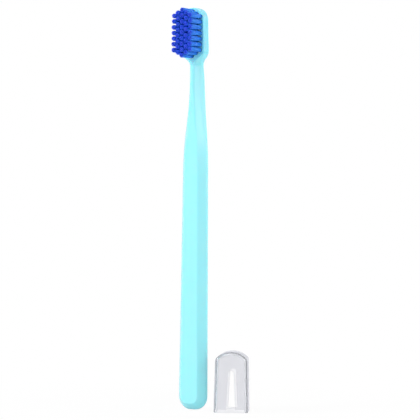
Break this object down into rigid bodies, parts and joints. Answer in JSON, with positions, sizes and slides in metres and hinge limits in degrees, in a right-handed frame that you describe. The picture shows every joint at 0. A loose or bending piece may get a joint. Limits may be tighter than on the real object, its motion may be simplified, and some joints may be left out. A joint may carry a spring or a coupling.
{
  "type": "manual toothbrush",
  "caption": "Manual toothbrush with a slim faceted handle, a compact head of dense staggered bristle tufts, and a clear slotted cap, taken off, that slips over the head.",
  "frame": {"origin": "middle of the flat on the handle's butt end, on the handle's axis", "axes": "+Z along the handle from the butt end to the head, bristles point along -Y, +X to the right seen from the bristle side"},
  "size_m": [0.0354, 0.025, 0.1757],
  "materials": {
    "handle_plastic": "smooth, slightly translucent aqua moulding",
    "cap_clear": "clear moulded plastic",
    "anchor_metal": "plain drawn strip",
    "bristle_nylon": "royal blue nylon filaments"
  },
  "bodies": {
    "brush": {"handle": "handle_plastic", "tuft_anchors": "anchor_metal", "tuft_left_outer_1": "bristle_nylon", "tuft_left_outer_2": "bristle_nylon", "tuft_left_outer_3": "bristle_nylon", "tuft_left_outer_4": "bristle_nylon", "tuft_left_outer_5": "bristle_nylon", "tuft_left_outer_6": "bristle_nylon", "tuft_left_outer_7": "bristle_nylon", "tuft_left_inner_1": "bristle_nylon", "tuft_left_inner_2": "bristle_nylon", "tuft_left_inner_3": "bristle_nylon", "tuft_left_inner_4": "bristle_nylon", "tuft_left_inner_5": "bristle_nylon", "tuft_left_inner_6": "bristle_nylon", "tuft_left_inner_7": "bristle_nylon", "tuft_left_inner_8": "bristle_nylon", "tuft_centre_1": "bristle_nylon", "tuft_centre_2": "bristle_nylon", "tuft_centre_3": "bristle_nylon", "tuft_centre_4": "bristle_nylon", "tuft_centre_5": "bristle_nylon", "tuft_centre_6": "bristle_nylon", "tuft_centre_7": "bristle_nylon", "tuft_centre_8": "bristle_nylon", "tuft_centre_9": "bristle_nylon", "tuft_right_inner_1": "bristle_nylon", "tuft_right_inner_2": "bristle_nylon", "tuft_right_inner_3": "bristle_nylon", "tuft_right_inner_4": "bristle_nylon", "tuft_right_inner_5": "bristle_nylon", "tuft_right_inner_6": "bristle_nylon", "tuft_right_inner_7": "bristle_nylon", "tuft_right_inner_8": "bristle_nylon", "tuft_right_outer_1": "bristle_nylon", "tuft_right_outer_2": "bristle_nylon", "tuft_right_outer_3": "bristle_nylon", "tuft_right_outer_4": "bristle_nylon", "tuft_right_outer_5": "bristle_nylon", "tuft_right_outer_6": "bristle_nylon", "tuft_right_outer_7": "bristle_nylon"},
    "cap": {"cap": "cap_clear"}
  },
  "joints": [
    {"name": "cap_lift", "type": "slide", "parent": "brush", "child": "cap", "axis": [0, 0, 1], "range_m": [0, 0.18]}
  ]
}
